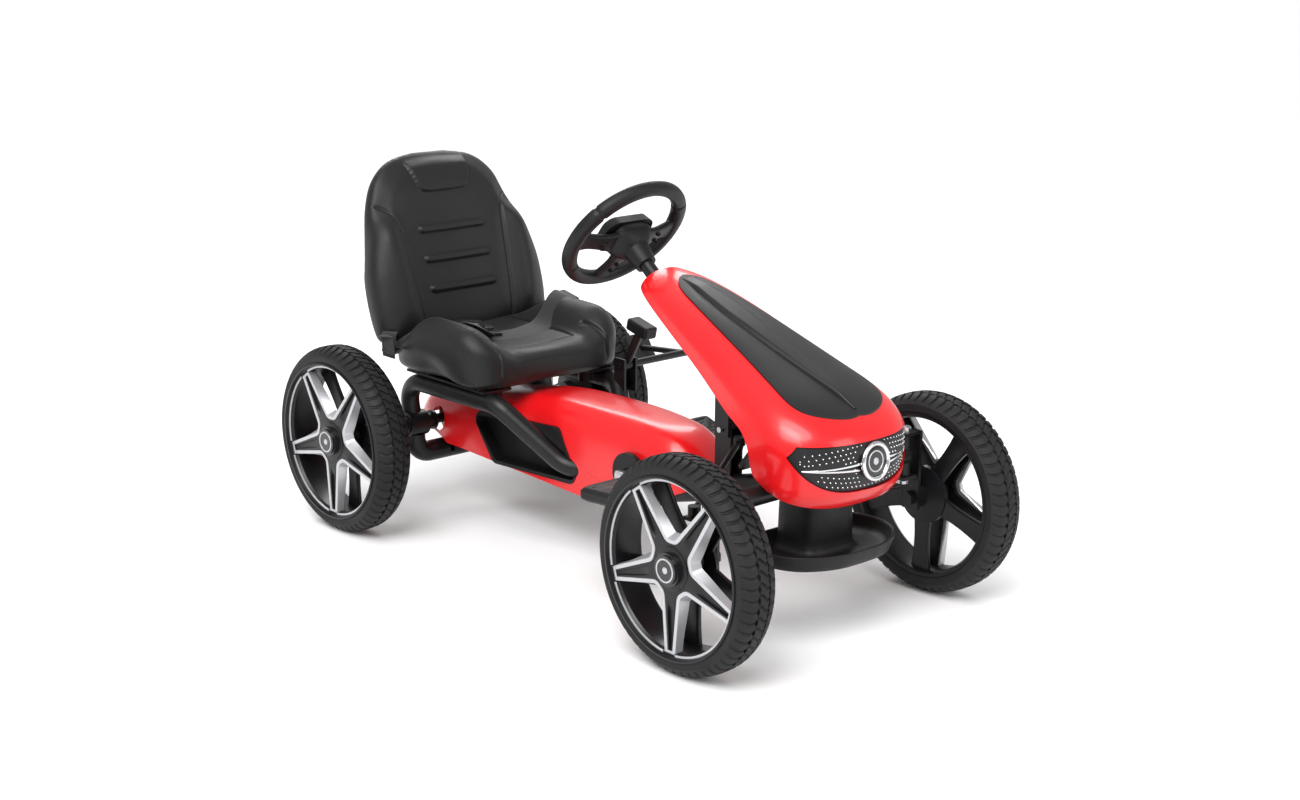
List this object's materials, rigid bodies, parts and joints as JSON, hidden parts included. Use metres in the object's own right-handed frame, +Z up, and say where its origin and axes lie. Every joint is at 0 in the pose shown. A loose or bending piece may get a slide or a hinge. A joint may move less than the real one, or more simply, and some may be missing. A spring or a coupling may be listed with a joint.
{
  "type": "pedal go-kart",
  "caption": "Child's pedal go-kart with a bucket seat, a steering wheel under a long sloping hood, chain drive in a moulded cover, spoked wheels and a hand brake.",
  "frame": {"origin": "on the ground, midway between the front and rear axles and between the left and right wheels", "axes": "+X forwards, +Y to the driver's left, +Z up"},
  "size_m": [1.096, 0.57, 0.5921],
  "materials": {
    "frame_black": "satin powder coat",
    "body_red": "glossy moulded",
    "panel_black": "satin, fine texture",
    "trim_chrome": "polished",
    "moulding_black": "fine moulded grain",
    "bush_plastic": "smooth",
    "zinc_steel": "zinc plated",
    "chain_steel": "oiled",
    "seat_skin": "soft black synthetic leather with fine grain",
    "webbing": "ribbed woven",
    "buckle_plastic": "satin",
    "brake_rubber": "matte",
    "tyre_rubber": "moulded tread",
    "rim_black": "satin with silver painted edges",
    "hub_cap_black": "glossy with a silver ring"
  },
  "bodies": {
    "chassis": {"main_tube": "frame_black", "rear_cross_tube": "frame_black", "rear_bearing_housings": "frame_black", "bearing_bushes": "bush_plastic", "seat_tube_right": "frame_black", "seat_tube_left": "frame_black", "front_axle_beam": "frame_black", "crank_bearing_shell": "frame_black", "column_bearings": "frame_black", "column_strut": "frame_black", "strut_pin": "zinc_steel", "hood": "body_red", "hood_insert": "panel_black", "grille_panel": "panel_black", "grille_trim": "trim_chrome", "chain_cover_upper": "body_red", "chain_cover_lower": "body_red", "cover_recesses": "moulding_black", "crank_bosses": "moulding_black", "bumper": "moulding_black", "chain": "chain_steel", "brake_bracket": "frame_black", "seat_rails": "frame_black"},
    "seat": {"seat_base": "seat_skin", "backrest": "seat_skin", "seat_channels": "frame_black", "seat_knobs": "moulding_black", "lap_belt": "webbing", "belt_buckle": "buckle_plastic"},
    "steering": {"steering_wheel": "moulding_black", "steering_pad": "moulding_black", "steering_collar": "moulding_black", "steering_column": "frame_black"},
    "knuckle_right": {"knuckle_right": "frame_black", "kingpin_bolt_right": "zinc_steel"},
    "knuckle_left": {"knuckle_left": "frame_black", "kingpin_bolt_left": "zinc_steel"},
    "tie_rod_right": {"tie_rod_right": "frame_black"},
    "tie_rod_left": {"tie_rod_left": "frame_black"},
    "wheel_front_right": {"tyre_front_right": "tyre_rubber", "rim_front_right": "rim_black", "hub_cap_front_right": "hub_cap_black"},
    "wheel_front_left": {"tyre_front_left": "tyre_rubber", "rim_front_left": "rim_black", "hub_cap_front_left": "hub_cap_black"},
    "wheel_rear_right": {"tyre_rear_right": "tyre_rubber", "rim_rear_right": "rim_black", "hub_cap_rear_right": "hub_cap_black"},
    "drive_axle": {"rear_axle": "zinc_steel", "drive_sprocket": "chain_steel", "tyre_rear_left": "tyre_rubber", "rim_rear_left": "rim_black", "hub_cap_rear_left": "hub_cap_black"},
    "cranks": {"crankset": "zinc_steel", "chainring": "chain_steel"},
    "pedal_right": {"pedal_right": "moulding_black"},
    "pedal_left": {"pedal_left": "moulding_black"},
    "brake": {"brake_lever": "frame_black", "brake_shoe": "brake_rubber", "brake_grip": "moulding_black"}
  },
  "joints": [
    {"name": "steering_turn", "type": "hinge", "parent": "chassis", "child": "steering", "pos_m": [-0.0085, 0, 0.5068], "axis": [-0.7826, 0, 0.6225], "range_deg": [-25, 25]},
    {"name": "seat_slide", "type": "slide", "parent": "chassis", "child": "seat", "axis": [1, 0, 0], "range_m": [-0.04, 0]},
    {"name": "brake_pull", "type": "hinge", "parent": "chassis", "child": "brake", "pos_m": [-0.141, 0.122, 0.26], "axis": [0, -1, 0], "range_deg": [0, 25]},
    {"name": "drive_axle_turn", "type": "hinge", "parent": "chassis", "child": "drive_axle", "pos_m": [-0.398, 0, 0.15], "axis": [0, 1, 0], "continuous": true},
    {"name": "rear_right_wheel_turn", "type": "hinge", "parent": "chassis", "child": "wheel_rear_right", "pos_m": [-0.398, -0.249, 0.15], "axis": [0, 1, 0], "continuous": true},
    {"name": "crank_turn", "type": "hinge", "parent": "chassis", "child": "cranks", "pos_m": [0.089, 0, 0.168], "axis": [0, 1, 0], "continuous": true},
    {"name": "knuckle_right_turn", "type": "hinge", "parent": "chassis", "child": "knuckle_right", "pos_m": [0.398, -0.183, 0.15], "axis": [0, 0, 1], "range_deg": [-25, 25]},
    {"name": "tie_rod_right_swing", "type": "hinge", "parent": "knuckle_right", "child": "tie_rod_right", "pos_m": [0.34, -0.178, 0.195], "axis": [0, 0, 1], "range_deg": [-25, 25]},
    {"name": "front_right_wheel_turn", "type": "hinge", "parent": "knuckle_right", "child": "wheel_front_right", "pos_m": [0.398, -0.249, 0.15], "axis": [0, 1, 0], "continuous": true},
    {"name": "pedal_right_turn", "type": "hinge", "parent": "cranks", "child": "pedal_right", "pos_m": [0.154, -0.143, 0.168], "axis": [0, 1, 0], "continuous": true},
    {"name": "knuckle_left_turn", "type": "hinge", "parent": "chassis", "child": "knuckle_left", "pos_m": [0.398, 0.183, 0.15], "axis": [0, 0, 1], "range_deg": [-25, 25]},
    {"name": "tie_rod_left_swing", "type": "hinge", "parent": "knuckle_left", "child": "tie_rod_left", "pos_m": [0.34, 0.178, 0.195], "axis": [0, 0, 1], "range_deg": [-25, 25]},
    {"name": "front_left_wheel_turn", "type": "hinge", "parent": "knuckle_left", "child": "wheel_front_left", "pos_m": [0.398, 0.249, 0.15], "axis": [0, 1, 0], "continuous": true},
    {"name": "pedal_left_turn", "type": "hinge", "parent": "cranks", "child": "pedal_left", "pos_m": [0.024, 0.143, 0.168], "axis": [0, 1, 0], "continuous": true}
  ],
  "couplings": [
    {"joint": "knuckle_right_turn", "follows": "steering_turn", "ratio": 1},
    {"joint": "knuckle_left_turn", "follows": "steering_turn", "ratio": 1},
    {"joint": "tie_rod_right_swing", "follows": "steering_turn", "ratio": -1},
    {"joint": "tie_rod_left_swing", "follows": "steering_turn", "ratio": -1},
    {"joint": "crank_turn", "follows": "drive_axle_turn", "ratio": 0.53846}
  ]
}
